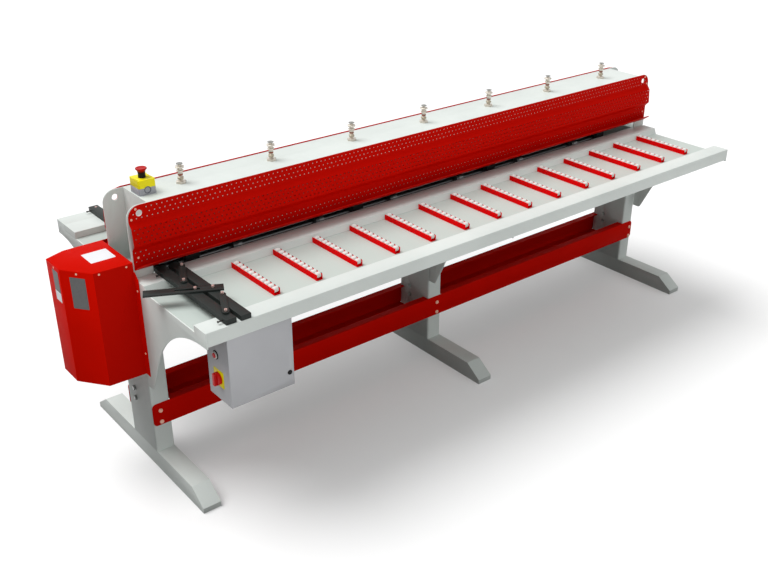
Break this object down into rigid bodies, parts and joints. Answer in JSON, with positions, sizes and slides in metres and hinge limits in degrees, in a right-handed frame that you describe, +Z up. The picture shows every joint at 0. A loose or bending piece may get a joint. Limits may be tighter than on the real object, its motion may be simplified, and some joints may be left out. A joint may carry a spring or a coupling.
{
  "type": "sheet metal beading machine",
  "caption": "Floor standing beading machine: driven bead rolls in a long beam between two roller tables, with folded guards, a parallel side guide, adjusting screws and an emergency stop.",
  "frame": {"origin": "on the floor at the centre of the middle foot's sole", "axes": "+X along the beam away from the drive end, front table towards -Y, +Z up"},
  "size_m": [3.179, 1.24, 1.227],
  "materials": {
    "grey_paint": "light grey powder coat, fine texture",
    "red_paint": "deep red powder coat, semi gloss",
    "rack_red": "bright red powder coat",
    "roller_white": "white nylon",
    "black_steel": "black oxide, slightly worn",
    "dark_screw": "dark browned steel",
    "zinc": "zinc plated",
    "bright_steel": "ground steel",
    "bearing_iron": "machined cast iron",
    "motor_grey": "dark blue grey enamel",
    "box_paint": "light grey enclosure paint",
    "lock_black": "black moulded plastic",
    "stop_grey": "grey moulded plastic",
    "yellow_plastic": "yellow moulded plastic",
    "red_plastic": "red moulded plastic"
  },
  "bodies": {
    "frame": {"left_leg": "grey_paint", "middle_leg": "grey_paint", "right_leg": "grey_paint", "front_brackets": "grey_paint", "rear_brackets": "grey_paint", "front_table": "grey_paint", "rear_table": "grey_paint", "front_racks": "rack_red", "rear_racks": "rack_red", "front_rack_rollers": "roller_white", "lower_beam": "grey_paint", "upper_beam": "grey_paint", "gearbox": "bearing_iron", "motor": "motor_grey", "drive_bearing": "bearing_iron", "lower_bearings": "bearing_iron", "adjuster_bushes": "zinc", "front_guard": "red_paint", "rear_guard": "red_paint", "front_stretcher": "red_paint", "rear_stretcher": "red_paint", "frame_bolts": "zinc", "end_cover": "red_paint", "sheet_screws": "zinc", "emergency_stop_base": "stop_grey", "emergency_stop_lid": "yellow_plastic", "emergency_stop_collar": "lock_black", "control_box": "box_paint", "control_box_hanger": "box_paint", "start_button_ring": "lock_black", "switch_plate": "yellow_plastic", "guide_fixed_bar": "black_steel", "rear_guide_bar": "black_steel", "guide_fixed_screws": "dark_screw"},
    "roll_carriage": {"upper_bearings": "bearing_iron", "pressure_bar": "bearing_iron"},
    "screw_1": {"adjusting_screw_1": "zinc"},
    "screw_2": {"adjusting_screw_2": "zinc"},
    "screw_3": {"adjusting_screw_3": "zinc"},
    "screw_4": {"adjusting_screw_4": "zinc"},
    "screw_5": {"adjusting_screw_5": "zinc"},
    "screw_6": {"adjusting_screw_6": "zinc"},
    "screw_7": {"adjusting_screw_7": "zinc"},
    "upper_rotor": {"upper_shaft": "bright_steel", "upper_rolls": "bright_steel", "upper_gear": "bright_steel"},
    "lower_rotor": {"lower_shaft": "bright_steel", "lower_rolls": "bright_steel", "lower_gear": "bright_steel"},
    "stop_button": {"emergency_stop_button": "red_plastic"},
    "box_door": {"control_box_door": "box_paint"},
    "box_lock": {"control_box_lock": "lock_black"},
    "start_push": {"start_button": "red_plastic"},
    "switch": {"switch_knob": "red_plastic"},
    "inner_link": {"guide_inner_link": "black_steel"},
    "outer_link": {"guide_outer_link": "black_steel"},
    "guide_bar": {"guide_moving_bar": "black_steel", "guide_moving_pins": "dark_screw"},
    "push_rod": {"guide_push_rod": "black_steel"}
  },
  "joints": [
    {"name": "roll_lift", "type": "slide", "parent": "frame", "child": "roll_carriage", "axis": [0, 0, 1], "range_m": [0, 0.003]},
    {"name": "adjuster_1", "type": "hinge", "parent": "roll_carriage", "child": "screw_1", "pos_m": [-1.2, 0, 1.135], "axis": [0, 0, 1], "range_deg": [0, 541]},
    {"name": "adjuster_2", "type": "hinge", "parent": "roll_carriage", "child": "screw_2", "pos_m": [-0.8, 0, 1.135], "axis": [0, 0, 1], "range_deg": [0, 541]},
    {"name": "adjuster_3", "type": "hinge", "parent": "roll_carriage", "child": "screw_3", "pos_m": [-0.4, 0, 1.135], "axis": [0, 0, 1], "range_deg": [0, 541]},
    {"name": "adjuster_4", "type": "hinge", "parent": "roll_carriage", "child": "screw_4", "pos_m": [0, 0, 1.135], "axis": [0, 0, 1], "range_deg": [0, 541]},
    {"name": "adjuster_5", "type": "hinge", "parent": "roll_carriage", "child": "screw_5", "pos_m": [0.4, 0, 1.135], "axis": [0, 0, 1], "range_deg": [0, 541]},
    {"name": "adjuster_6", "type": "hinge", "parent": "roll_carriage", "child": "screw_6", "pos_m": [0.8, 0, 1.135], "axis": [0, 0, 1], "range_deg": [0, 541]},
    {"name": "adjuster_7", "type": "hinge", "parent": "roll_carriage", "child": "screw_7", "pos_m": [1.2, 0, 1.135], "axis": [0, 0, 1], "range_deg": [0, 541]},
    {"name": "lower_shaft_turn", "type": "hinge", "parent": "frame", "child": "lower_rotor", "pos_m": [0, 0, 0.811], "axis": [1, 0, 0], "continuous": true},
    {"name": "upper_shaft_turn", "type": "hinge", "parent": "roll_carriage", "child": "upper_rotor", "pos_m": [0, 0, 0.901], "axis": [1, 0, 0], "continuous": true},
    {"name": "stop_press", "type": "slide", "parent": "frame", "child": "stop_button", "axis": [0, 0, -1], "range_m": [0, 0.005], "stiffness_N_per_m": 900},
    {"name": "box_door_swing", "type": "hinge", "parent": "frame", "child": "box_door", "pos_m": [-1.397, -0.617, 0.661], "axis": [0, 0, -1], "range_deg": [0, 110]},
    {"name": "box_lock_turn", "type": "hinge", "parent": "box_door", "child": "box_lock", "pos_m": [-1.155, -0.617, 0.58], "axis": [0, 1, 0], "range_deg": [0, 90]},
    {"name": "start_press", "type": "slide", "parent": "frame", "child": "start_push", "axis": [1, 0, 0], "range_m": [0, 0.003], "stiffness_N_per_m": 600},
    {"name": "switch_turn", "type": "hinge", "parent": "frame", "child": "switch", "pos_m": [-1.411, -0.541, 0.615], "axis": [1, 0, 0], "range_deg": [0, 90]},
    {"name": "guide_open", "type": "hinge", "parent": "frame", "child": "inner_link", "pos_m": [-1.363, -0.273, 0.875], "axis": [0, 0, -1], "range_deg": [-5, 30]},
    {"name": "outer_link_turn", "type": "hinge", "parent": "frame", "child": "outer_link", "pos_m": [-1.363, -0.566, 0.875], "axis": [0, 0, -1], "range_deg": [-5, 30]},
    {"name": "bar_turn", "type": "hinge", "parent": "inner_link", "child": "guide_bar", "pos_m": [-1.308, -0.156, 0.875], "axis": [0, 0, -1], "range_deg": [-30, 5]},
    {"name": "rod_turn", "type": "hinge", "parent": "guide_bar", "child": "push_rod", "pos_m": [-1.308, -0.384, 0.875], "axis": [0, 0, -1], "range_deg": [-2, 8]}
  ],
  "couplings": [
    {"joint": "adjuster_1", "follows": "roll_lift", "rad_per_m": 3141.6},
    {"joint": "adjuster_2", "follows": "roll_lift", "rad_per_m": 3141.6},
    {"joint": "adjuster_3", "follows": "roll_lift", "rad_per_m": 3141.6},
    {"joint": "adjuster_4", "follows": "roll_lift", "rad_per_m": 3141.6},
    {"joint": "adjuster_5", "follows": "roll_lift", "rad_per_m": 3141.6},
    {"joint": "adjuster_6", "follows": "roll_lift", "rad_per_m": 3141.6},
    {"joint": "adjuster_7", "follows": "roll_lift", "rad_per_m": 3141.6},
    {"joint": "upper_shaft_turn", "follows": "lower_shaft_turn", "ratio": -1},
    {"joint": "outer_link_turn", "follows": "guide_open", "ratio": 1},
    {"joint": "bar_turn", "follows": "guide_open", "ratio": -1},
    {"joint": "rod_turn", "follows": "guide_open", "ratio": 0.202}
  ]
}
